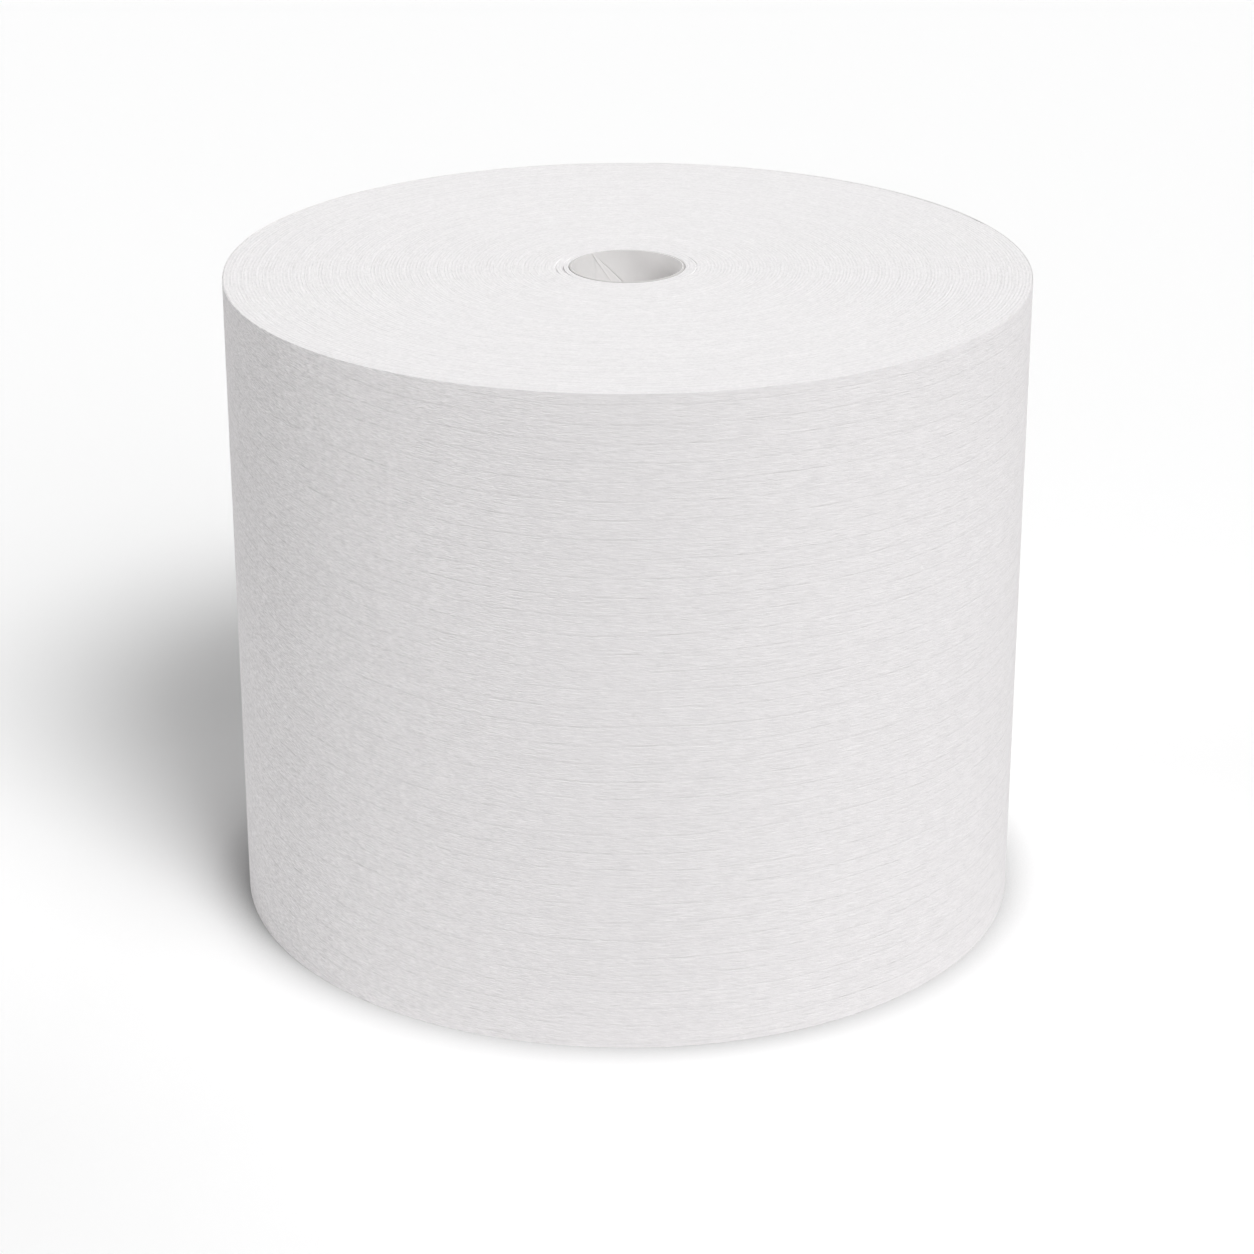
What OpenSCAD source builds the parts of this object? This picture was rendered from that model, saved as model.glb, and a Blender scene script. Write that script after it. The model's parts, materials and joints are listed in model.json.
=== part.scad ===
/* [Roll] */
// Diameter of the full roll
roll_d = 278; // [140:1:400]
// Height of the roll, which is the width of its paper
paper_w = 229; // [100:1:400]
// Thickness of one sheet of the paper
sheet_t = 0.25; // [0.15:0.05:0.4]
// Sheets that lie together as one turn of the wound body
sheets_per_turn = 12; // [6:1:16]
// Air between one turn of the wound body and the next, at the ends of the roll
turn_gap = 0.25; // [0.15:0.05:0.4]
// Depth that this air reaches in from each end, before the sheets press tight
open_depth = 25; // [5:1:45]

/* [Core] */
// Diameter of the hole through the core
bore_d = 38.1; // [25:0.1:80]
// Thickness of each ply of the core's board
ply_t = 0.3; // [0.25:0.05:0.6]
// Steepness of the strips that the plies are wound from, measured from level
ply_angle = 55; // [35:1:70]
// Open seam between the two edges of a ply's strip
seam_w = 0.4; // [0.3:0.1:1]
// Where the liner's seam meets the top of the core, in degrees from +X
seam_angle = 130; // [0:1:359]
// Turn from one ply's seam to the next, so that no two lie together
seam_stagger = 112; // [40:1:140]

/* [Pick-up glue] */
// Thickness of the glue between the core and the first sheet
glue_t = 0.55; // [0.5:0.05:0.8]
// Width of each bead of that glue, where it lies on the core
bead_w = 6; // [3:0.5:12]
// Number of those beads
beads = 6; // [2:1:10]

/* [Tail] */
// Where the tail leaves the roll, in degrees from +X
tail_angle = 25; // [0:5:60]
// Length of the loose tail along the sheet
tail_length = 150; // [60:5:180]
// Air between the tail and the wrap beneath it
tail_gap = 0.3; // [0.25:0.05:0.6]

/* [Tail seal] */
// Diameter of each spot of seal glue beneath the tail
spot_d = 7; // [4:1:12]
// Thickness of a dried spot
spot_t = 0.12; // [0.08:0.02:0.2]
// Distance from the tail's free edge to the middle of the spots
spot_inset = 13; // [8:1:20]
// Number of spots down the height of the roll
spots = 4; // [2:1:8]

/* [Hidden] */

full_circle = 144;  // segments that a full turn is drawn with
half_turn = 180;    // degrees in half a turn of the paper
over = 1;           // how far a cutter runs past what it cuts
plies = 3;          // plies in the core
bead_steps = 10;    // facets across the round back of a bead
bead_squeeze = 0.9; // how much of a bead's free height is left where the sheet presses it flat
tail_panels = 6;    // panels that the tail bends at
seam_step = 12;     // degrees of the seam's helix to each of its facets

core_r = bore_d / 2 + plies * ply_t;
web_r_in = core_r + glue_t;
web_r_out = roll_d / 2 - sheet_t;

// The web starts and ends one sheet thick, and climbs one pitch in each turn between.
// It starts on the far side of the roll from its end, so it holds an odd number of half turns.
web_build = web_r_out - web_r_in - 2 * sheet_t - turn_gap;
half_turns = 2 * round(web_build / (sheets_per_turn * sheet_t) - 0.5) + 1;
half_rise = web_build / half_turns;

// The last wrap climbs over its own beginning, and the tail lies on as a part of it.
wrap_lift = (sheet_t + tail_gap) / 2;
tail_r = web_r_out + 2 * wrap_lift;
panel_angle = tail_length / tail_r * half_turn / PI / tail_panels;
spot_angle = tail_angle + (tail_length - spot_inset) / tail_r * half_turn / PI;

paper_white = [0.93, 0.925, 0.92];
board_white = [0.86, 0.85, 0.83];
glue_clear = [0.93, 0.9, 0.8];

// A straight ring, from its inner radius and its wall
module ring(r, wall, h) {
    difference() {
        cylinder(h = h, r = r + wall, $fn = full_circle);
        translate([0, 0, -over]) cylinder(h = h + 2 * over, r = r, $fn = full_circle);
    }
}

// A piece of such a ring that spans an angle, counterclockwise from +X
module arc_wall(r, wall, h, span) {
    rotate_extrude(angle = span, $fn = full_circle)
        translate([r, 0]) square([wall, h]);
}

// One ply of the core: a strip wound up a steep right-handed helix, with its seam left open
module core_ply(n) {
    r = bore_d / 2 + n * ply_t;
    lead = 2 * PI * (r + ply_t / 2) * tan(ply_angle);
    cut_h = paper_w + 2 * over;
    turned = 360 * cut_h / lead;
    top_angle = seam_angle + n * seam_stagger + 360 * over / lead;
    cut_w = seam_w / sin(ply_angle);
    difference() {
        ring(r, ply_t, paper_w);
        translate([0, 0, -over])
            rotate([0, 0, top_angle - turned])
                linear_extrude(height = cut_h, twist = -turned, slices = ceil(turned / seam_step))
                    translate([r - ply_t / 2, -cut_w / 2]) square([2 * ply_t, cut_w]);
    }
}

module core_liner() {
    color(board_white) core_ply(0);
}

module core_middle_ply() {
    color(board_white) core_ply(1);
}

module core_outer_ply() {
    color(board_white) core_ply(2);
}

// Beads of glue round the core, evenly spaced: round-backed, and pressed flat against the web
module pickup_glue() {
    spacing = paper_w / beads;
    free_t = glue_t / bead_squeeze;
    back = [
        for (i = [0 : bead_steps])
            let (x = 2 * i / bead_steps - 1)
            [core_r + min(glue_t, free_t * (1 - x * x)), x * bead_w / 2]
    ];
    color(glue_clear)
        for (n = [0 : beads - 1])
            translate([0, 0, (n + 0.5) * spacing])
                rotate_extrude($fn = full_circle) polygon(back);
}

// Half a turn of the air between two turns, at both ends. Its centre is set off to one side, and
// to the other side on the next half turn, so the two arcs meet and the web climbs smoothly.
module half_turn_of_air(n) {
    rotate([0, 0, tail_angle + half_turn * (n + 1)])
        translate([-half_rise / 2, 0, 0])
            both_ends()
                arc_wall(web_r_in + sheet_t + half_rise * (n + 0.5), turn_gap, open_depth + over, half_turn);
}

// What is cut in from the lower end, and the same from the upper end
module both_ends() {
    for (z = [-over, paper_w - open_depth]) translate([0, 0, z]) children();
}

// A radial slot beside an end of the web, from one radius to another
module end_slot(angle, r_from, r_to, side) {
    rotate([0, 0, angle])
        translate([r_from, side, 0])
            both_ends() cube([r_to - r_from, turn_gap, open_depth + over]);
}

// The wound body: one continuous strip from the core to the last wrap
module wound_web() {
    last_r = web_r_in + sheet_t + half_rise * half_turns;
    color(paper_white)
        difference() {
            ring(web_r_in, web_r_out - web_r_in, paper_w);
            for (n = [0 : half_turns - 1]) half_turn_of_air(n);
            end_slot(tail_angle + half_turn, web_r_in - over, web_r_in + sheet_t + turn_gap, -turn_gap);
            end_slot(tail_angle, last_r, web_r_out + over, 0);
        }
}

// The last wrap, one sheet thick: half a turn lies on the body, and half climbs off it
module outer_wrap() {
    color(paper_white)
        rotate([0, 0, tail_angle]) {
            arc_wall(web_r_out, sheet_t, paper_w, half_turn);
            translate([wrap_lift, 0, 0])
                rotate([0, 0, half_turn]) arc_wall(web_r_out + wrap_lift, sheet_t, paper_w, half_turn);
        }
}

// Spots of dried glue on the last wrap, under the end of the tail
module tail_seal() {
    color(glue_clear)
        intersection() {
            ring(web_r_out + sheet_t, spot_t, paper_w);
            for (n = [0 : spots - 1])
                translate([0, 0, (n + 0.5) * paper_w / spots])
                    rotate([0, 90, spot_angle])
                        translate([0, 0, web_r_out]) cylinder(h = tail_r - web_r_out, d = spot_d, $fn = 48);
        }
}

// One panel of the tail. Each bends on the line where the one before it ends.
module tail_panel(n) {
    color(paper_white)
        rotate([0, 0, tail_angle + (n - 1) * panel_angle])
            arc_wall(tail_r, sheet_t, paper_w, panel_angle);
}

core_liner();
core_middle_ply();
core_outer_ply();
pickup_glue();
wound_web();
outer_wrap();
tail_seal();
tail_panel(1);  // tail_panel_1
tail_panel(2);  // tail_panel_2
tail_panel(3);  // tail_panel_3
tail_panel(4);  // tail_panel_4
tail_panel(5);  // tail_panel_5
tail_panel(6);  // tail_panel_6
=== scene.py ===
import json
import math
import random

import bpy
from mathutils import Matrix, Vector, noise

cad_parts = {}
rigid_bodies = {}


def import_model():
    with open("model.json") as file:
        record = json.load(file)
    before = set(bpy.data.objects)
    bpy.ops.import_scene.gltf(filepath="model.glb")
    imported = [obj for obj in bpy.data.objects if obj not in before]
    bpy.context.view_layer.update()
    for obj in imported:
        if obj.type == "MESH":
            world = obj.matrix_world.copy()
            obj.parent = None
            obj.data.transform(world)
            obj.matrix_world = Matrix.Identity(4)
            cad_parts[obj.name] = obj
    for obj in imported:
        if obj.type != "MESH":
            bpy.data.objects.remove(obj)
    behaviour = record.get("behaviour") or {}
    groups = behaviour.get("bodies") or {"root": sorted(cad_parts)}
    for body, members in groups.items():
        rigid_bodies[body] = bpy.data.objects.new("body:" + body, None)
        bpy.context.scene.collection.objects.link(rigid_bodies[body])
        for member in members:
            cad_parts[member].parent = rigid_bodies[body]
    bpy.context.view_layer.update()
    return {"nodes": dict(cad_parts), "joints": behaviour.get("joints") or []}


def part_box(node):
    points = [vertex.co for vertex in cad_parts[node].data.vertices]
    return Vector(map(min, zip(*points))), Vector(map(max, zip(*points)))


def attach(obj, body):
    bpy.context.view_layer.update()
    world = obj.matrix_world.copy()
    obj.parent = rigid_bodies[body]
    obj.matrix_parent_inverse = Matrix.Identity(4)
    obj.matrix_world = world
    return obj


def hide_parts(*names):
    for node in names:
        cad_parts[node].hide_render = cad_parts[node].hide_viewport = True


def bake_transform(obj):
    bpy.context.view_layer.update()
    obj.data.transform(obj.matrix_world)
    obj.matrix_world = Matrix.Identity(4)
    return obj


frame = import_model()
millimetre = 0.001
turnRound = 2 * math.pi


# ---------- small helpers

def startOn(obj, mode="OBJECT"):
    if bpy.context.object and bpy.context.object.mode != "OBJECT":
        bpy.ops.object.mode_set(mode="OBJECT")
    bpy.ops.object.select_all(action="DESELECT")
    bpy.context.view_layer.objects.active = obj
    obj.select_set(True)
    if mode != "OBJECT":
        bpy.ops.object.mode_set(mode=mode)


def applyModifier(obj, kind, **settings):
    startOn(obj)
    mod = obj.modifiers.new(kind.title(), kind)
    for key, value in settings.items():
        setattr(mod, key, value)
    bpy.ops.object.modifier_apply(modifier=mod.name)


def wave(x, y=0.0, seed=0.0):
    return noise.noise(Vector((x, y, seed)))


def ease(x):
    x = min(max(x, 0.0), 1.0)
    return x * x * (3 - 2 * x)


def clampTo(x, low, high):
    return min(max(x, low), high)


def mergeDoubles(obj, distance=1e-6):
    startOn(obj, "EDIT")
    bpy.ops.mesh.select_all(action="SELECT")
    bpy.ops.mesh.remove_doubles(threshold=distance)
    bpy.ops.mesh.normals_make_consistent(inside=False)
    bpy.ops.object.mode_set(mode="OBJECT")


def countTriangles(obj):
    return sum(len(face.vertices) - 2 for face in obj.data.polygons)


def finishPiece(obj, name, body, material, slotName, *nodes):
    obj.name = name
    obj.data.name = name
    obj.data.materials.clear()
    obj.data.materials.append(material)
    if body:
        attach(obj, body)
    if nodes:
        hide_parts(*nodes)
    return obj


# ---------- node helpers

def newNode(tree, kind, place, **settings):
    node = tree.nodes.new(kind)
    node.location = place
    for key, value in settings.items():
        if key in node.inputs.keys() and not hasattr(node, key):
            node.inputs[key].default_value = value
        else:
            setattr(node, key, value)
    return node


def join(tree, output, target):
    tree.links.new(output, target)


def mathNode(tree, place, operation, a, b=None, c=None, clamp=False):
    node = tree.nodes.new("ShaderNodeMath")
    node.operation = operation
    node.location = place
    node.use_clamp = clamp
    for index, value in enumerate((a, b, c)):
        if value is None:
            continue
        if isinstance(value, (int, float)):
            node.inputs[index].default_value = value
        else:
            tree.links.new(value, node.inputs[index])
    return node.outputs[0]


def rangeNode(tree, place, value, fromLow, fromHigh, toLow, toHigh, smooth=False):
    node = tree.nodes.new("ShaderNodeMapRange")
    node.location = place
    node.interpolation_type = "SMOOTHSTEP" if smooth else "LINEAR"
    tree.links.new(value, node.inputs["Value"])
    node.inputs["From Min"].default_value = fromLow
    node.inputs["From Max"].default_value = fromHigh
    node.inputs["To Min"].default_value = toLow
    node.inputs["To Max"].default_value = toHigh
    return node.outputs["Result"]


def noiseNode(tree, place, vector, scale, detail=2.0, roughness=0.5, distortion=0.0):
    node = tree.nodes.new("ShaderNodeTexNoise")
    node.location = place
    node.inputs["Scale"].default_value = scale
    node.inputs["Detail"].default_value = detail
    node.inputs["Roughness"].default_value = roughness
    node.inputs["Distortion"].default_value = distortion
    tree.links.new(vector, node.inputs["Vector"])
    return node.outputs["Fac"]


def stretchNode(tree, place, vector, scale, shift=(0, 0, 0)):
    node = tree.nodes.new("ShaderNodeMapping")
    node.location = place
    node.inputs["Scale"].default_value = scale
    node.inputs["Location"].default_value = shift
    tree.links.new(vector, node.inputs["Vector"])
    return node.outputs["Vector"]


def newGroup(name, inputs, outputs):
    tree = bpy.data.node_groups.new(name, "ShaderNodeTree")
    for label, kind, value in inputs:
        item = tree.interface.new_socket(label, in_out="INPUT", socket_type=kind)
        if value is not None:
            item.default_value = value
    for label, kind in outputs:
        tree.interface.new_socket(label, in_out="OUTPUT", socket_type=kind)
    start = tree.nodes.new("NodeGroupInput")
    start.location = (-1200, 0)
    end = tree.nodes.new("NodeGroupOutput")
    end.location = (1000, 0)
    return tree, start.outputs, end.inputs


def useGroup(tree, group, place, **values):
    node = tree.nodes.new("ShaderNodeGroup")
    node.node_tree = group
    node.location = place
    for label, value in values.items():
        target = node.inputs[label.replace("_", " ")]
        if isinstance(value, bpy.types.NodeSocket):
            tree.links.new(value, target)
        else:
            target.default_value = value
    return node.outputs


# ---------- materials

# Fine creping along the sheet: short wavy ridges, and long hairline creases that wander.
# The vector is in metres on the flat sheet, x along it and y up it.
crepe = {
    "ridgeLength": 0.0048, "ridgeSpacing": 0.00088, "fineLength": 0.0026, "fineSpacing": 0.0004,
    "creaseSpacing": 0.0064, "creaseWander": 0.0017, "creaseWidth": 0.0005,
}


def makeCrepeGroup():
    tree, source, target = newGroup(
        "paperCrepe",
        [("Vector", "NodeSocketVector", None), ("Ridges", "NodeSocketFloat", 1.0),
         ("Fine", "NodeSocketFloat", 0.6), ("Creases", "NodeSocketFloat", 1.0)],
        [("Height", "NodeSocketFloat"), ("Tone", "NodeSocketFloat")])
    vector = source["Vector"]
    stretched = stretchNode(tree, (-900, 300), vector,
                            (1 / crepe["ridgeLength"], 1 / crepe["ridgeSpacing"], 1))
    ridges = noiseNode(tree, (-700, 300), stretched, 1.0, 3.0, 0.6, 0.5)
    # a second, shorter set that leans a little, so that the ridges cross now and then
    leaning = newNode(tree, "ShaderNodeMapping", (-900, 60))
    leaning.inputs["Rotation"].default_value = (0, 0, 0.12)
    leaning.inputs["Scale"].default_value = (1 / crepe["fineLength"], 1 / crepe["fineSpacing"], 1)
    join(tree, vector, leaning.inputs["Vector"])
    fine = noiseNode(tree, (-700, 60), leaning.outputs["Vector"], 1.0, 2.0, 0.55, 0.5)
    # creases: bands across the sheet, pushed up and down by a slow noise
    parts = newNode(tree, "ShaderNodeSeparateXYZ", (-900, -250))
    join(tree, vector, parts.inputs[0])
    slow = noiseNode(tree, (-900, -420), stretchNode(tree, (-1080, -420), vector, (16, 50, 1)), 1.0, 5.0, 0.6)
    pushed = mathNode(tree, (-700, -300), "MULTIPLY_ADD", slow, crepe["creaseWander"] * 2, parts.outputs["Y"])
    bands = mathNode(tree, (-540, -300), "DIVIDE", pushed, crepe["creaseSpacing"])
    row = mathNode(tree, (-380, -420), "FLOOR", bands)
    within = mathNode(tree, (-380, -260), "FRACT", bands)
    away = mathNode(tree, (-220, -260), "ABSOLUTE", mathNode(tree, (-300, -260), "SUBTRACT", within, 0.5))
    edge = crepe["creaseWidth"] / crepe["creaseSpacing"]
    line = rangeNode(tree, (-60, -260), away, 0.0, edge, 1.0, 0.0, True)
    # each row has its own stretches where the crease shows
    place = newNode(tree, "ShaderNodeCombineXYZ", (-220, -520))
    join(tree, mathNode(tree, (-380, -560), "MULTIPLY", parts.outputs["X"], 55.0), place.inputs["X"])
    join(tree, mathNode(tree, (-380, -640), "MULTIPLY", row, 7.31), place.inputs["Y"])
    shown = rangeNode(tree, (120, -520), noiseNode(tree, (-60, -520), place.outputs[0], 1.0, 3.0, 0.65),
                      0.32, 0.62, 0.0, 1.0)
    mask = mathNode(tree, (300, -300), "MULTIPLY", line, shown)
    creases = mathNode(tree, (460, -300), "MULTIPLY", mask, source["Creases"])
    ridges = mathNode(tree, (-500, 260), "MULTIPLY",
                      mathNode(tree, (-600, 260), "SUBTRACT", ridges, 0.5), source["Ridges"])
    ridgeHeight = mathNode(tree, (-340, 200), "MULTIPLY_ADD",
                           mathNode(tree, (-500, 120), "SUBTRACT", fine, 0.5), source["Fine"], ridges)
    join(tree, mathNode(tree, (700, 0), "MULTIPLY_ADD", creases, -0.45, ridgeHeight), target["Height"])
    # painted shade and highlight: the colour is darker in the bottoms of the folds and in the creases, and lighter on
    # the crests
    tone = mathNode(tree, (460, 320), "MULTIPLY", ridgeHeight, 0.13)
    tone = mathNode(tree, (620, 320), "MULTIPLY_ADD", creases, -0.075, tone)
    join(tree, mathNode(tree, (780, 320), "ADD", tone, 1.0), target["Tone"])
    return tree


# Soft cloudy tone of the pulp, and a few light and dark specks in it
def makePulpGroup():
    tree, source, target = newGroup(
        "paperPulp",
        [("Vector", "NodeSocketVector", None), ("Color", "NodeSocketColor", (0.8, 0.8, 0.8, 1)),
         ("Clouding", "NodeSocketFloat", 0.02), ("Specks", "NodeSocketFloat", 0.12)],
        [("Color", "NodeSocketColor")])
    vector = source["Vector"]
    clouds = noiseNode(tree, (-900, 200), vector, 190.0, 3.0, 0.5)
    grain = noiseNode(tree, (-900, 380), vector, 1500.0, 2.0, 0.6)
    broad = noiseNode(tree, (-900, 0), vector, 16.0, 3.0, 0.5)
    tone = mathNode(tree, (-700, 120), "MULTIPLY_ADD", broad, 0.35, clouds)
    tone = mathNode(tree, (-620, 240), "MULTIPLY_ADD", grain, 0.3, tone)
    tone = mathNode(tree, (-540, 120), "SUBTRACT", tone, 0.82)
    tone = mathNode(tree, (-380, 120), "MULTIPLY_ADD", tone, source["Clouding"], 1.0)
    cells = newNode(tree, "ShaderNodeTexVoronoi", (-900, -260))
    cells.inputs["Scale"].default_value = 95.0
    join(tree, vector, cells.inputs["Vector"])
    parts = newNode(tree, "ShaderNodeSeparateColor", (-700, -360))
    join(tree, cells.outputs["Color"], parts.inputs[0])
    dot = rangeNode(tree, (-540, -200), cells.outputs["Distance"], 0.03, 0.055, 1.0, 0.0, True)
    dark = mathNode(tree, (-380, -200), "MULTIPLY", dot,
                    mathNode(tree, (-540, -380), "GREATER_THAN", parts.outputs[0], 0.93))
    light = mathNode(tree, (-380, -360), "MULTIPLY", dot,
                     mathNode(tree, (-540, -500), "LESS_THAN", parts.outputs[0], 0.2))
    specks = mathNode(tree, (-220, -260), "MULTIPLY_ADD", light, 0.35, mathNode(tree, (-300, -200), "MULTIPLY", dark, -1.0))
    factor = mathNode(tree, (-60, 0), "MULTIPLY_ADD", specks, source["Specks"], tone)
    scaled = newNode(tree, "ShaderNodeVectorMath", (300, 60), operation="SCALE")
    join(tree, source["Color"], scaled.inputs[0])
    join(tree, factor, scaled.inputs["Scale"])
    join(tree, scaled.outputs[0], target["Color"])
    return tree


# The cut edges of the sheets on the ends of the roll. They follow the spiral, so the tone is
# taken from how many turns lie between a point and the core.
edgeStroke = {"length": 0.0024, "spacing": 0.00055}


def makeEdgeGroup():
    tree, source, target = newGroup(
        "sheetEdges",
        [("Vector", "NodeSocketVector", None), ("Turn", "NodeSocketFloat", 0.0012),
         ("Start", "NodeSocketFloat", 0.02), ("Rings", "NodeSocketFloat", 0.05),
         ("Strength", "NodeSocketFloat", 0.03)],
        [("Tone", "NodeSocketFloat"), ("Height", "NodeSocketFloat")])
    parts = newNode(tree, "ShaderNodeSeparateXYZ", (-1000, 100))
    join(tree, source["Vector"], parts.inputs[0])
    flat = newNode(tree, "ShaderNodeCombineXYZ", (-840, 200))
    join(tree, parts.outputs["X"], flat.inputs["X"])
    join(tree, parts.outputs["Y"], flat.inputs["Y"])
    radius = newNode(tree, "ShaderNodeVectorMath", (-680, 200), operation="LENGTH")
    join(tree, flat.outputs[0], radius.inputs[0])
    angle = mathNode(tree, (-680, 0), "ARCTAN2", parts.outputs["Y"], parts.outputs["X"])
    share = mathNode(tree, (-520, 0), "DIVIDE", angle, turnRound)
    share = mathNode(tree, (-440, 0), "FLOORED_MODULO", share, 1.0)
    beyond = mathNode(tree, (-600, 280), "SUBTRACT", radius.outputs["Value"], source["Start"])
    turns = mathNode(tree, (-520, 200), "DIVIDE", beyond, source["Turn"])
    turns = mathNode(tree, (-360, 120), "SUBTRACT", turns, share)
    # the turns are not wound perfectly evenly
    uneven = newNode(tree, "ShaderNodeTexNoise", (-520, 620), noise_dimensions="1D")
    uneven.inputs["Scale"].default_value = 0.9
    uneven.inputs["Detail"].default_value = 2.0
    join(tree, turns, uneven.inputs["W"])
    turns = mathNode(tree, (-340, 160), "MULTIPLY_ADD", uneven.outputs["Fac"], 1.0, turns)
    sway = noiseNode(tree, (-520, 420), source["Vector"], 100.0, 2.0)
    turns = mathNode(tree, (-280, 160), "MULTIPLY_ADD", sway, 0.8, turns)
    broad = newNode(tree, "ShaderNodeTexNoise", (-180, 320), noise_dimensions="1D")
    broad.inputs["Scale"].default_value = 0.13
    broad.inputs["Detail"].default_value = 3.0
    join(tree, turns, broad.inputs["W"])
    sheets = newNode(tree, "ShaderNodeTexNoise", (-180, 120), noise_dimensions="1D")
    sheets.inputs["Scale"].default_value = 2.6
    sheets.inputs["Detail"].default_value = 3.0
    sheets.inputs["Roughness"].default_value = 0.7
    join(tree, turns, sheets.inputs["W"])
    # short strokes along the sheets: their edges are fuzzy in one place and crisp in another
    place = newNode(tree, "ShaderNodeCombineXYZ", (-180, -300))
    join(tree, mathNode(tree, (-360, -220), "DIVIDE", parts.outputs["X"], edgeStroke["length"]), place.inputs["X"])
    join(tree, mathNode(tree, (-360, -300), "DIVIDE", parts.outputs["Y"], edgeStroke["length"]), place.inputs["Y"])
    join(tree, mathNode(tree, (-360, -380), "DIVIDE", radius.outputs["Value"], edgeStroke["spacing"]), place.inputs["Z"])
    strokes = noiseNode(tree, (0, -300), place.outputs[0], 1.0, 1.0, 0.5)
    fuzz = noiseNode(tree, (0, -500), source["Vector"], 1100.0, 2.0, 0.6)
    tone = mathNode(tree, (60, 220), "MULTIPLY_ADD", broad.outputs["Fac"], 0.4, sheets.outputs["Fac"])
    tone = mathNode(tree, (100, 220), "MULTIPLY", tone, 0.7)
    tone = mathNode(tree, (140, 220), "MULTIPLY_ADD", strokes, 3.8, tone)
    tone = mathNode(tree, (220, 220), "MULTIPLY_ADD", fuzz, 3.4, tone)
    tone = mathNode(tree, (380, 220), "SUBTRACT", tone, 4.09)
    tone = mathNode(tree, (540, 220), "MULTIPLY_ADD", tone, source["Strength"], 1.0)
    # the groove between one turn and the next: a painted shade line, darkened in the colour, that comes and goes
    swing = mathNode(tree, (-90, 520), "COSINE", mathNode(tree, (-180, 520), "MULTIPLY", turns, turnRound))
    broken = newNode(tree, "ShaderNodeVectorMath", (-180, 700), operation="MULTIPLY")
    join(tree, place.outputs[0], broken.inputs[0])
    broken.inputs[1].default_value = (0.28, 0.28, 0.3)
    shown = rangeNode(tree, (180, 700), noiseNode(tree, (0, 700), broken.outputs[0], 1.0, 2.0), 0.36, 0.62, 0.1, 1.0)
    groove = mathNode(tree, (360, 520), "MULTIPLY", swing, shown)
    dark = mathNode(tree, (540, 520), "MULTIPLY", groove, source["Rings"])
    join(tree, mathNode(tree, (720, 320), "SUBTRACT", tone, dark), target["Tone"])
    height = mathNode(tree, (220, 0), "MULTIPLY_ADD", strokes, 0.6, sheets.outputs["Fac"])
    height = mathNode(tree, (380, 0), "MULTIPLY_ADD", fuzz, 1.5, height)
    height = mathNode(tree, (540, 0), "MULTIPLY_ADD", groove, -0.4, height)
    join(tree, height, target["Height"])
    return tree


# A soft fold down a tube, from one place at its upper end. Lean is how far it drifts round for each
# metre down, Begin and End are depths in metres.
def makeFoldGroup():
    tree, source, target = newGroup(
        "boardFold",
        [("Vector", "NodeSocketVector", None), ("Radius", "NodeSocketFloat", 0.019),
         ("Top", "NodeSocketFloat", 0.2), ("Direction", "NodeSocketFloat", 2.0), ("Lean", "NodeSocketFloat", 0.5),
         ("Begin", "NodeSocketFloat", 0.001), ("End", "NodeSocketFloat", 0.03), ("Width", "NodeSocketFloat", 0.0004)],
        [("Height", "NodeSocketFloat"), ("Mask", "NodeSocketFloat")])
    parts = newNode(tree, "ShaderNodeSeparateXYZ", (-1000, 100))
    join(tree, source["Vector"], parts.inputs[0])
    angle = mathNode(tree, (-840, 100), "ARCTAN2", parts.outputs["Y"], parts.outputs["X"])
    round_ = mathNode(tree, (-680, 100), "SUBTRACT", source["Direction"], angle)
    round_ = mathNode(tree, (-520, 100), "MULTIPLY", round_, source["Radius"])
    depth = mathNode(tree, (-840, -100), "SUBTRACT", source["Top"], parts.outputs["Z"])
    drift = mathNode(tree, (-680, -100), "MULTIPLY", depth, source["Lean"])
    wander = noiseNode(tree, (-840, 300), source["Vector"], 170.0, 2.0)
    drift = mathNode(tree, (-520, -100), "MULTIPLY_ADD", wander, 0.0012, drift)
    away = mathNode(tree, (-360, 0), "SUBTRACT", round_, drift)
    away = mathNode(tree, (-200, 0), "DIVIDE", away, source["Width"])
    line = rangeNode(tree, (0, 100), mathNode(tree, (-100, 100), "ABSOLUTE", away), 0.0, 1.0, 1.0, 0.0, True)
    into = mathNode(tree, (-520, -300), "DIVIDE", mathNode(tree, (-680, -300), "SUBTRACT", depth, source["Begin"]), 0.002, clamp=True)
    outOf = mathNode(tree, (-520, -460), "DIVIDE", mathNode(tree, (-680, -460), "SUBTRACT", source["End"], depth), 0.01, clamp=True)
    ends = mathNode(tree, (-360, -360), "MULTIPLY", into, outOf)
    mask = mathNode(tree, (200, 0), "MULTIPLY", line, ends)
    join(tree, mask, target["Mask"])
    join(tree, mathNode(tree, (400, 100), "MULTIPLY", mask, -1.0), target["Height"])
    return tree


crepeGroup = makeCrepeGroup()
pulpGroup = makePulpGroup()
edgeGroup = makeEdgeGroup()
foldGroup = makeFoldGroup()


def newMaterial(name, roughness=0.9, specular=0.25):
    material = bpy.data.materials.new(name)
    material.use_nodes = True
    tree = material.node_tree
    shader = tree.nodes["Principled BSDF"]
    shader.inputs["Roughness"].default_value = roughness
    shader.inputs["Specular IOR Level"].default_value = specular
    return material, tree, shader


def coordinates(tree, kind, place=(-1000, 0)):
    return newNode(tree, "ShaderNodeTexCoord", place).outputs[kind]


def addBump(tree, shader, height, distance, strength=1.0, place=(-260, -300)):
    bump = newNode(tree, "ShaderNodeBump", place)
    bump.inputs["Distance"].default_value = distance
    bump.inputs["Strength"].default_value = strength
    join(tree, height, bump.inputs["Height"])
    join(tree, bump.outputs["Normal"], shader.inputs["Normal"])
    return bump


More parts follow.
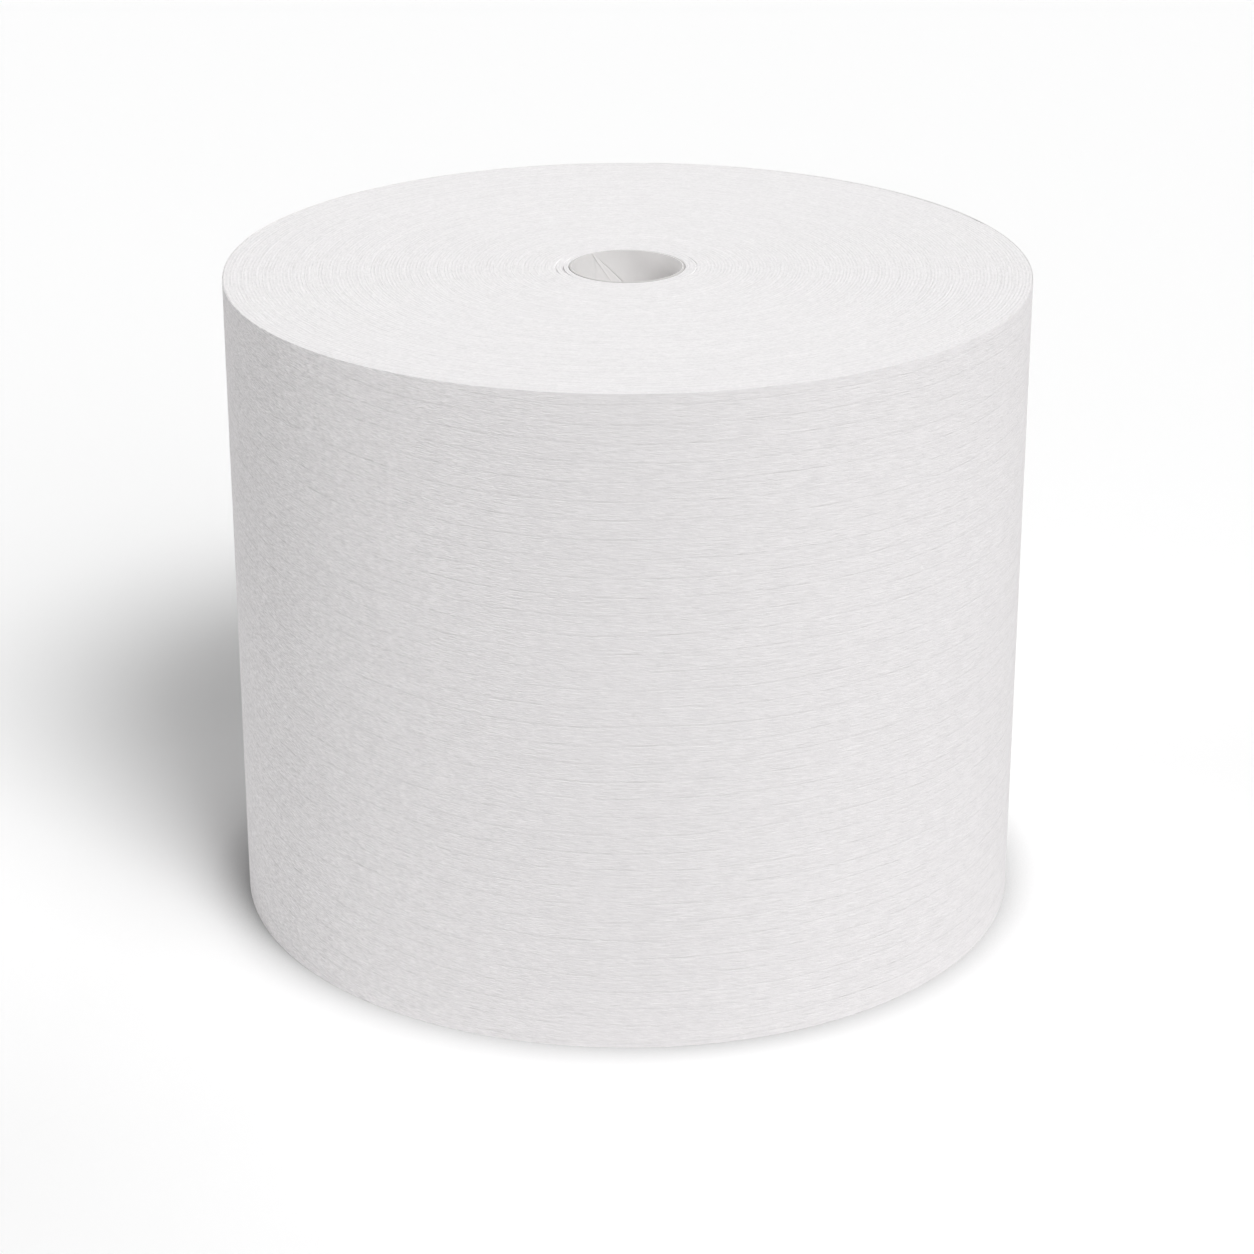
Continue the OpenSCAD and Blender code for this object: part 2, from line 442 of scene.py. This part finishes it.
# Face of the paper, in metres along the flat sheet through its UV map
def makeFacePaper(slant):
    material, tree, shader = newMaterial("facePaper", 0.92, 0.2)
    sheet = coordinates(tree, "UV", (-1200, 0))
    pulp = useGroup(tree, pulpGroup, (-600, 300), Vector=stretchNode(tree, (-900, 300), sheet, (0.6, 1, 1)),
                    Color=(0.856, 0.837, 0.843, 1), Clouding=0.11, Specks=0.07)
    # the creping, and the painted shade in its folds and creases, is stronger on one side of the roll, where it also
    # runs a little downhill
    parts = newNode(tree, "ShaderNodeSeparateXYZ", (-1300, -200))
    join(tree, sheet, parts.inputs[0])
    amount = rangeNode(tree, (-1000, -300), parts.outputs["X"], slant["left"], slant["right"], 4.4, 1.0)
    calmer = rangeNode(tree, (-1000, -500), parts.outputs["X"], slant["back"], slant["left"], 0.35, 1.0, True)
    amount = mathNode(tree, (-820, -300), "MULTIPLY", amount, calmer)
    drop = rangeNode(tree, (-1100, -100), parts.outputs["X"], slant["back"], slant["right"], slant["drop"], 0.0, True)
    lowered = newNode(tree, "ShaderNodeCombineXYZ", (-900, -60))
    join(tree, parts.outputs["X"], lowered.inputs["X"])
    join(tree, mathNode(tree, (-1000, -60), "SUBTRACT", parts.outputs["Y"], drop), lowered.inputs["Y"])
    crepeOut = useGroup(tree, crepeGroup, (-600, -100), Vector=lowered.outputs[0],
                        Ridges=mathNode(tree, (-820, -260), "MULTIPLY_ADD", amount, -0.2, 1.6),
                        Fine=mathNode(tree, (-820, -360), "MULTIPLY_ADD", amount, 1.45, -0.55),
                        Creases=mathNode(tree, (-820, -460), "MULTIPLY_ADD", amount, 0.2, 0.7))
    # painted shade from the crepe's folds and creases darkens the colour here
    tinted = newNode(tree, "ShaderNodeVectorMath", (-300, 200), operation="SCALE")
    join(tree, pulp["Color"], tinted.inputs[0])
    join(tree, crepeOut["Tone"], tinted.inputs["Scale"])
    join(tree, tinted.outputs[0], shader.inputs["Base Color"])
    addBump(tree, shader, crepeOut["Height"], 0.00012)
    return material


def makeEndPaper(turn, start):
    material, tree, shader = newMaterial("endPaper", 0.95, 0.15)
    point = coordinates(tree, "Object")
    # painted shade: the dark groove lines between the rings are made stronger towards -X, the side away from the key
    # light
    parts = newNode(tree, "ShaderNodeSeparateXYZ", (-1100, 260))
    join(tree, point, parts.inputs[0])
    rings = rangeNode(tree, (-900, 260), parts.outputs["X"], -0.08, 0.08, 0.067, 0.045)
    edges = useGroup(tree, edgeGroup, (-700, 100), Vector=point, Turn=turn, Start=start,
                     Rings=rings, Strength=0.05)
    pulp = useGroup(tree, pulpGroup, (-700, -100), Vector=point, Color=(0.886, 0.871, 0.876, 1),
                    Clouding=0.04, Specks=0.06)
    tinted = newNode(tree, "ShaderNodeVectorMath", (-300, 100), operation="SCALE")
    join(tree, pulp["Color"], tinted.inputs[0])
    join(tree, edges["Tone"], tinted.inputs["Scale"])
    join(tree, tinted.outputs[0], shader.inputs["Base Color"])
    addBump(tree, shader, edges["Height"], 0.00007)
    return material


def makeBoard(name, color):
    material, tree, shader = newMaterial(name, 0.88, 0.25)
    point = coordinates(tree, "Object")
    pulp = useGroup(tree, pulpGroup, (-600, 100), Vector=point, Color=color, Clouding=0.07, Specks=0.2)
    join(tree, pulp["Color"], shader.inputs["Base Color"])
    fibres = noiseNode(tree, (-600, -300), point, 900.0, 3.0, 0.6)
    addBump(tree, shader, fibres, 0.00005)
    return material


# The liner's colour is painted lighter on one side as painted light, where the bore gets less light, and it puckered
# beside its seam when the tube was wound
def makeLinerBoard(color, tube):
    material, tree, shader = newMaterial("linerBoard", 0.88, 0.25)
    point = coordinates(tree, "Object", (-1200, 0))
    pulp = useGroup(tree, pulpGroup, (-600, 100), Vector=point, Color=color, Clouding=0.07, Specks=0.2)
    parts = newNode(tree, "ShaderNodeSeparateXYZ", (-1000, 300))
    join(tree, point, parts.inputs[0])
    # painted light: the colour grows up to 19 percent lighter towards +X, where less light reaches into the bore
    tone = rangeNode(tree, (-800, 300), parts.outputs["X"], *tube["paintedLightSpan"], 1.0, 1.19, True)
    height = noiseNode(tree, (-600, -300), point, 900.0, 3.0, 0.6)
    for number, (lean, begin, end, width) in enumerate(tube["folds"]):
        fold = useGroup(tree, foldGroup, (-900, -300 - 260 * number), Vector=point, Radius=tube["radius"],
                        Top=tube["top"], Direction=tube["direction"], Lean=lean, Begin=begin, End=end, Width=width)
        height = mathNode(tree, (-420 + 120 * number, -400), "MULTIPLY_ADD", fold["Height"], 2.4, height)
        # painted shade: each fold also darkens the colour a little along its line
        tone = mathNode(tree, (-420 + 120 * number, 300), "MULTIPLY_ADD", fold["Mask"], -0.03, tone)
    tinted = newNode(tree, "ShaderNodeVectorMath", (-180, 200), operation="SCALE")
    join(tree, pulp["Color"], tinted.inputs[0])
    join(tree, tone, tinted.inputs["Scale"])
    join(tree, tinted.outputs[0], shader.inputs["Base Color"])
    addBump(tree, shader, height, 0.00005)
    return material


def makeGlue():
    material, tree, shader = newMaterial("driedGlue", 0.35, 0.5)
    point = coordinates(tree, "Object")
    ramp = newNode(tree, "ShaderNodeValToRGB", (-400, 100))
    ramp.color_ramp.elements[0].color = (0.72, 0.66, 0.50, 1)
    ramp.color_ramp.elements[1].color = (0.86, 0.82, 0.70, 1)
    join(tree, noiseNode(tree, (-600, 100), point, 500.0, 3.0), ramp.inputs["Fac"])
    join(tree, ramp.outputs["Color"], shader.inputs["Base Color"])
    addBump(tree, shader, noiseNode(tree, (-600, -300), point, 700.0, 2.0), 0.0001)
    return material


# ---------- the outer sheet: flat first, then rolled on

webLow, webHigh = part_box("wound_web")
tailAngle = math.atan2(frame["joints"][0]["pos_m"][1], frame["joints"][0]["pos_m"][0])
tailEdge = math.hypot(*frame["joints"][0]["pos_m"][:2])
sheet = {
    "thickness": 0.25 * millimetre,
    "height": webHigh.z,
    "touching": webHigh.y + 0.25 * millimetre,     # outer face where it lies on the body
    "lifted": tailEdge,                            # outer face of the tail
    "rows": 115, "spacing": 4 * millimetre,
    "tail": 150 * millimetre, "panels": 6,
    "ripple": 0.05 * millimetre, "slack": 0.12 * millimetre,
}
# The tail lies closer to the wrap under it than the clearance that the joints need
sheet["lifted"] -= sheet["slack"]
sheet["climbing"] = (sheet["touching"] + sheet["lifted"]) / 2
sheet["shift"] = (sheet["lifted"] - sheet["touching"]) / 2
sheet["firstHalf"] = math.pi * sheet["touching"]
sheet["wrap"] = sheet["firstHalf"] + math.pi * sheet["climbing"]


# ---------- the wound body

glueLow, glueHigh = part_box("pickup_glue")
web = {
    "innerRadius": glueHigh.x,
    "outerRadius": webHigh.y + 2 * sheet["shift"],
    "looseness": 0.08 * millimetre,      # between the body and the last wrap
    "collar": 9 * millimetre,            # how far down the first turns lean on the core
    "lean": 0.3 * millimetre,
    "height": webHigh.z,
    "columns": 160,
    "turns": 100, "rowsPerTurn": 3,
    "rowShares": (0.0, 0.24, 0.76),      # groove, then the two sides of the crest
    "groove": 0.07 * millimetre,
    "recess": 0.05 * millimetre,         # crests lie this far below the last wrap's edge
    "uneven": 0.1 * millimetre,
}
# One turn more than the body holds, because each column starts further out than the last
web["turn"] = (web["outerRadius"] - web["innerRadius"]) / (web["turns"] - 1)
web["start"] = web["innerRadius"] - web["turn"]

# Loose turns near the core: turn number, direction in degrees, half width in degrees, depth, opening
slits = [
    (2, 184, 40, 0.8, 0.09), (4, 180, 30, 0.4, 0.05), (4, 4, 36, 0.25, 0.03),
]


def slitAt(turnsAlong):
    depth = opening = 0.0
    for number, direction, halfWidth, deep, wide in slits:
        away = abs(turnsAlong * 360 - (number * 360 + direction)) / halfWidth
        if away < 1:
            depth += deep * millimetre * ease((1 - away) * 1.6)
            opening += wide * millimetre * ease(1 - away)
    return depth, opening


# The body fills the last wrap, which climbs over its own start in the second half of the turn
def outerLimit(angle):
    beyond = (angle - tailAngle) % turnRound
    climbing = math.pi < beyond < turnRound - math.radians(2.5)
    return webHigh.y - web["looseness"] + (sheet["shift"] * (1 + math.cos(beyond)) if climbing else 0.0)


def endHeight(turnsAlong, top):
    seed = 4.0 if top else 19.0
    slow = 0.5 + 0.5 * wave(turnsAlong * 0.21, 0.3, seed)
    quick = 0.5 + 0.5 * wave(turnsAlong * 17.3, 2.0, seed)
    return web["recess"] + web["uneven"] * (0.55 * slow + 0.45 * quick)


def makeWoundBody():
    rows = web["turns"] * web["rowsPerTurn"]
    width, height = web["outerRadius"] - web["start"], web["height"]
    bpy.ops.mesh.primitive_plane_add(size=1, rotation=(math.pi / 2, 0, 0))
    body = bpy.context.object
    bpy.ops.object.transform_apply(location=False, rotation=True, scale=False)
    for v in body.data.vertices:
        v.co = (web["start"] + (v.co.x + 0.5) * width, 0, (v.co.z + 0.5) * height)
    # its two ends are cut into rows, and the outline is spun round the axis
    startOn(body, "EDIT")
    bpy.ops.mesh.select_mode(type="EDGE")
    bpy.ops.mesh.select_all(action="SELECT")
    bpy.ops.mesh.delete(type="ONLY_FACE")
    for cuts in (5, rows // 6 - 1):
        bpy.ops.mesh.select_all(action="DESELECT")
        bpy.ops.object.mode_set(mode="OBJECT")
        for edge in body.data.edges:
            a, b = (body.data.vertices[i].co for i in edge.vertices)
            edge.select = abs(a.z - b.z) < 1e-6
        bpy.ops.object.mode_set(mode="EDIT")
        bpy.ops.mesh.subdivide(number_cuts=cuts)
    bpy.ops.object.mode_set(mode="OBJECT")
    # and the wall at the core is cut into a collar at each end
    startOn(body, "EDIT")
    bpy.ops.mesh.select_all(action="DESELECT")
    bpy.ops.object.mode_set(mode="OBJECT")
    for edge in body.data.edges:
        a, b = (body.data.vertices[i].co for i in edge.vertices)
        edge.select = abs(a.z - b.z) > 1e-6 and a.x < web["innerRadius"]
    bpy.ops.object.mode_set(mode="EDIT")
    bpy.ops.mesh.subdivide(number_cuts=4)
    bpy.ops.object.mode_set(mode="OBJECT")
    for v in body.data.vertices:
        if 0 < v.co.z < height:
            low = v.co.z < height / 2
            fromEnd = v.co.z if low else height - v.co.z
            fromEnd = web["collar"] * (0.5 if fromEnd < height * 0.3 else 1.0)
            v.co.z = fromEnd if low else height - fromEnd
    outline = len(body.data.vertices)
    bpy.ops.object.mode_set(mode="EDIT")
    bpy.ops.mesh.select_all(action="SELECT")
    bpy.ops.mesh.spin(steps=web["columns"], angle=turnRound, center=(0, 0, 0), axis=(0, 0, 1),
                      use_auto_merge=False)
    bpy.ops.object.mode_set(mode="OBJECT")
    # each row moves out by one turn on its way round, so that rows join up as a spiral
    step = web["turn"] / web["rowsPerTurn"]
    for v in body.data.vertices:
        row = round((math.hypot(v.co.x, v.co.y) - web["start"]) / step)
        angle = math.atan2(v.co.y, v.co.x) % turnRound
        if min(angle, turnRound - angle) < 1e-4:
            angle = 0.0 if v.index < outline else turnRound
        number, part = divmod(row, web["rowsPerTurn"])
        along = number + angle / turnRound
        radius = web["start"] + web["turn"] * (along + web["rowShares"][part])
        depth, opening = slitAt(along if part < 2 else along + 1)
        radius += (0, 0.5, -0.5)[part] * opening
        outermost = outerLimit(angle)
        inside = web["innerRadius"] < radius < outermost
        radius = clampTo(radius, web["innerRadius"], outermost)
        top = v.co.z > height / 2
        down = endHeight((radius - web["start"]) / web["turn"], top)
        # the first turns lean on the core at the ends
        fromEnd = min(v.co.z, height - v.co.z)
        leaning = ease(1 - (radius - web["innerRadius"]) / (3 * web["turn"])) * (1 - fromEnd / web["collar"])
        radius -= web["lean"] * max(leaning, 0.0)
        if fromEnd > 1e-6:
            v.co = (radius * math.cos(angle), radius * math.sin(angle), v.co.z)
            continue
        if inside and part == 0:
            # a groove comes and goes along the web
            down += web["groove"] * (0.55 + 0.9 * wave(along * 23.7, 1.0, 7.0)) + depth
        v.co = (radius * math.cos(angle), radius * math.sin(angle), height - down if top else down)
    mergeDoubles(body)
    return body


def rollPoint(along, up, out):
    """"""
    centre = Vector((0, 0))
    if along < sheet["firstHalf"]:
        radius, angle = sheet["touching"], along / sheet["touching"]
    elif along < sheet["wrap"]:
        radius = sheet["climbing"]
        angle = math.pi + (along - sheet["firstHalf"]) / radius
        centre = Vector((math.cos(tailAngle), math.sin(tailAngle))) * sheet["shift"]
    else:
        radius = sheet["lifted"]
        angle = (along - sheet["wrap"]) / radius
    angle += tailAngle
    return Vector((centre.x + (radius + out) * math.cos(angle),
                   centre.y + (radius + out) * math.sin(angle), up))


def ripple(along, up):
    broad = wave(along * 9, up * 55, 3.0) * 0.6 + wave(along * 21, up * 150, 8.0) * 0.5
    return -sheet["ripple"] * clampTo(0.5 + broad, 0.0, 1.0)


def makeSheet(start, end):
    length = end - start
    columns = max(round(length / sheet["spacing"]), 3)
    bpy.ops.mesh.primitive_grid_add(x_subdivisions=columns, y_subdivisions=sheet["rows"], size=1,
                                    calc_uvs=True)
    piece = bpy.context.object
    for v in piece.data.vertices:
        v.co = (start + (v.co.x + 0.5) * length, (v.co.y + 0.5) * sheet["height"], 0)
    for loop in piece.data.loops:
        place = piece.data.vertices[loop.vertex_index].co
        piece.data.uv_layers[0].data[loop.index].uv = (place.x, place.y)
    for v in piece.data.vertices:
        v.co.z = ripple(v.co.x, v.co.y)
    applyModifier(piece, "SOLIDIFY", thickness=sheet["thickness"], offset=-1.0)
    for v in piece.data.vertices:
        v.co = rollPoint(*v.co)
    startOn(piece)
    bpy.ops.object.shade_smooth_by_angle(angle=math.radians(30))
    return piece


# ---------- the core's liner

linerLow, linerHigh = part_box("core_liner")
liner = {
    "boreRadius": linerHigh.x - 0.3 * millimetre, "outerRadius": linerHigh.x,
    "steepness": math.radians(55), "seamAngle": math.radians(130), "seam": 0.07 * millimetre,
    "lip": 0.1 * millimetre, "lipWidth": 0.8 * millimetre,
    "columns": 150, "rows": 64,
    # lean, where it begins and ends below the end of the tube, width
    "folds": [(0.1, 0.001, 0.022, 0.0008), (0.98, 0.0015, 0.03, 0.0006)],
}


def makeLiner():
    middle = (liner["boreRadius"] + liner["outerRadius"]) / 2
    lead = turnRound * middle * math.tan(liner["steepness"])
    seamWidth = liner["seam"] / math.sin(liner["steepness"])
    length = turnRound * liner["boreRadius"] - seamWidth
    bpy.ops.mesh.primitive_grid_add(x_subdivisions=liner["columns"], y_subdivisions=liner["rows"], size=1)
    piece = bpy.context.object
    lip = liner["lip"]
    for v in piece.data.vertices:
        # more columns near the two edges of the strip
        share = 0.5 - 0.5 * math.cos(math.pi * (v.co.x + 0.5))
        x = share * length
        edge = min(x, length - x) / liner["lipWidth"]
        raised = ease(1 - edge) if x > length / 2 else 0.35 * ease(1 - edge)
        v.co = (x, (v.co.y + 0.5) * web["height"], lip * (1 - raised))
    applyModifier(piece, "SOLIDIFY", thickness=liner["outerRadius"] - liner["boreRadius"] - lip, offset=1.0)
    for v in piece.data.vertices:
        angle = (liner["seamAngle"] - (web["height"] - v.co.y) / lead * turnRound
                 + (v.co.x + seamWidth / 2) / liner["boreRadius"])
        radius = liner["boreRadius"] + v.co.z
        v.co = (radius * math.cos(angle), radius * math.sin(angle), v.co.y)
    startOn(piece, "EDIT")
    bpy.ops.mesh.select_all(action="SELECT")
    bpy.ops.mesh.normals_make_consistent(inside=False)
    bpy.ops.object.mode_set(mode="OBJECT")
    bpy.ops.object.shade_smooth_by_angle(angle=math.radians(30))
    return piece


facePaper = makeFacePaper({
    "back": sheet["wrap"] * 0.32, "left": sheet["wrap"] * 0.527, "right": sheet["wrap"] * 0.67, "drop": 0.025,
})
endPaper = makeEndPaper(web["turn"], web["start"])
linerBoard = makeLinerBoard((0.835, 0.821, 0.816, 1), {
    "radius": liner["boreRadius"], "top": web["height"], "direction": liner["seamAngle"], "folds": liner["folds"],
    "paintedLightSpan": (0, 0.75 * liner["boreRadius"]),
})
plyBoard = makeBoard("plyBoard", (0.68, 0.665, 0.655, 1))
driedGlue = makeGlue()

woundBody = finishPiece(makeWoundBody(), "woundBody", "roll", endPaper, "wound_paper", "wound_web")
print("wound body:", countTriangles(woundBody), "triangles")

panel = sheet["tail"] / sheet["panels"]
cuts = [0.0] + [sheet["wrap"] + (n - 0.5) * panel for n in range(sheet["panels"] + 1)]
cuts.append(sheet["wrap"] + sheet["tail"])
lastWrap = finishPiece(makeSheet(cuts[0], cuts[1]), "lastWrap", "roll", facePaper, "face_paper", "outer_wrap")
for n in range(1, sheet["panels"] + 1):
    bend = makeSheet(cuts[n], cuts[n + 1])
    finishPiece(bend, "tailSheet_%d" % n, None, facePaper, "face_paper", "tail_panel_%d" % n)
    middleUp = sheet["height"] / 2
    rollPoint(cuts[n], middleUp, 0)
    rollPoint(cuts[n + 1], middleUp, 0)
    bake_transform(bend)
tailEnd = finishPiece(makeSheet(cuts[-2], cuts[-1]), "tailEnd", "tail_6", facePaper, "face_paper")
print("outer sheet:", countTriangles(lastWrap), "triangles on the last wrap")

coreLiner = finishPiece(makeLiner(), "coreLiner", "roll", linerBoard, "liner_board", "core_liner")
print("liner:", countTriangles(coreLiner), "triangles")

for name, material in (("core_middle_ply", plyBoard), ("core_outer_ply", plyBoard),
                       ("pickup_glue", driedGlue), ("tail_seal", driedGlue)):
    node = frame["nodes"][name]
    for place in node.material_slots:
        place.material = material


# ---------- floor, light and camera

stage = {
    "floorSize": 24.0, "floorTone": 0.55,
    "paleTone": 0.98, "palePlace": (-0.29, -0.09, 0), "paleReach": 0.36,
    "skyStrength": 0.02, "contact": 0.85, "contactReach": 0.03,
}
# Direction in degrees round from the camera's side towards the right, height, size, strength
lamps = {
    "keyLow": (30, 35, 40, 0.864), "keyMiddle": (30, 50, 20, 1.106), "keyHigh": (40, 52, 35, 0.889),
    "topFill": (0, 85, 60, 0.474), "leftFill": (270, 8, 30, 1.42), "rearFill": (135, 12, 60, 1.219),
}


def makeFloor():
    bpy.ops.mesh.primitive_plane_add(size=stage["floorSize"], location=(0, 0, -0.00002))
    floor = bpy.context.object
    floor.name = "floor"
    material, tree, shader = newMaterial("floorPaint", 0.9, 0.0)
    path = newNode(tree, "ShaderNodeLightPath", (-900, 200))
    seen = mathNode(tree, (-700, 200), "ADD", path.outputs["Is Camera Ray"], path.outputs["Is Glossy Ray"])
    seen = mathNode(tree, (-540, 200), "ADD", seen, path.outputs["Is Transmission Ray"], clamp=True)
    point = coordinates(tree, "Object", (-1300, -100))
    grain = noiseNode(tree, (-1100, -200), point, 3.0, 2.0)
    # what the floor throws back at the paper: more of it close by on the left
    away = newNode(tree, "ShaderNodeVectorMath", (-1100, -50), operation="DISTANCE")
    join(tree, point, away.inputs[0])
    away.inputs[1].default_value = stage["palePlace"]
    plain = rangeNode(tree, (-900, -50), away.outputs["Value"], 0.0, stage["paleReach"], stage["paleTone"],
                      stage["floorTone"], True)
    plain = mathNode(tree, (-700, -100), "MULTIPLY_ADD", grain, 0.01, plain)
    # painted shadow: the colour the camera sees darkens right beside whatever stands on it, as a painted contact
    # shadow
    near = newNode(tree, "ShaderNodeAmbientOcclusion", (-900, -300), samples=16, only_local=False)
    near.inputs["Distance"].default_value = stage["contactReach"]
    closed = mathNode(tree, (-740, -300), "SUBTRACT", 1.0, near.outputs["AO"])
    closed = mathNode(tree, (-620, -300), "MULTIPLY", closed, closed)
    seenToneWithPaintedShadow = mathNode(tree, (-500, -300), "MULTIPLY_ADD", closed, -2 * stage["contact"], 1.0, clamp=True)
    mix = newNode(tree, "ShaderNodeMix", (-360, 100), data_type="FLOAT")
    join(tree, seen, mix.inputs[0])
    join(tree, plain, mix.inputs[2])
    join(tree, seenToneWithPaintedShadow, mix.inputs[3])
    color = newNode(tree, "ShaderNodeCombineColor", (-180, 100))
    for channel in color.inputs:
        join(tree, mix.outputs[0], channel)
    join(tree, color.outputs[0], shader.inputs["Base Color"])
    floor.data.materials.append(material)
    return floor


def makeWorld():
    world = bpy.data.worlds.new("studio")
    bpy.context.scene.world = world
    world.use_nodes = True
    tree = world.node_tree
    background = tree.nodes["Background"]
    path = newNode(tree, "ShaderNodeLightPath", (-600, 200))
    level = rangeNode(tree, (-360, 200), path.outputs["Is Camera Ray"], 0.0, 1.0, stage["skyStrength"], 1.0)
    background.inputs["Color"].default_value = (1.0, 1.0, 1.0, 1)
    join(tree, level, background.inputs["Strength"])


def makeLamps():
    for name, (direction, up, size, strength) in lamps.items():
        bpy.ops.object.light_add(type="SUN", location=(0, 0, 1.5))
        lamp = bpy.context.object
        lamp.name = name
        lamp.data.angle = math.radians(size)
        lamp.data.energy = strength
        side, up = math.radians(direction), math.radians(up)
        toLight = Vector((math.sin(side) * math.cos(up), -math.cos(side) * math.cos(up), math.sin(up)))
        lamp.rotation_euler = toLight.to_track_quat("Z", "Y").to_euler()


def makeCamera():
    bpy.ops.object.camera_add(location=(0, -1.1375, 0.5633), rotation=(math.radians(67.59), 0, 0))
    camera = bpy.context.object
    camera.data.lens = 98.1
    camera.data.sensor_width = 36.0
    bpy.context.scene.camera = camera


makeFloor()
makeWorld()
makeLamps()
makeCamera()
scene = bpy.context.scene
scene.view_settings.view_transform = "Standard"
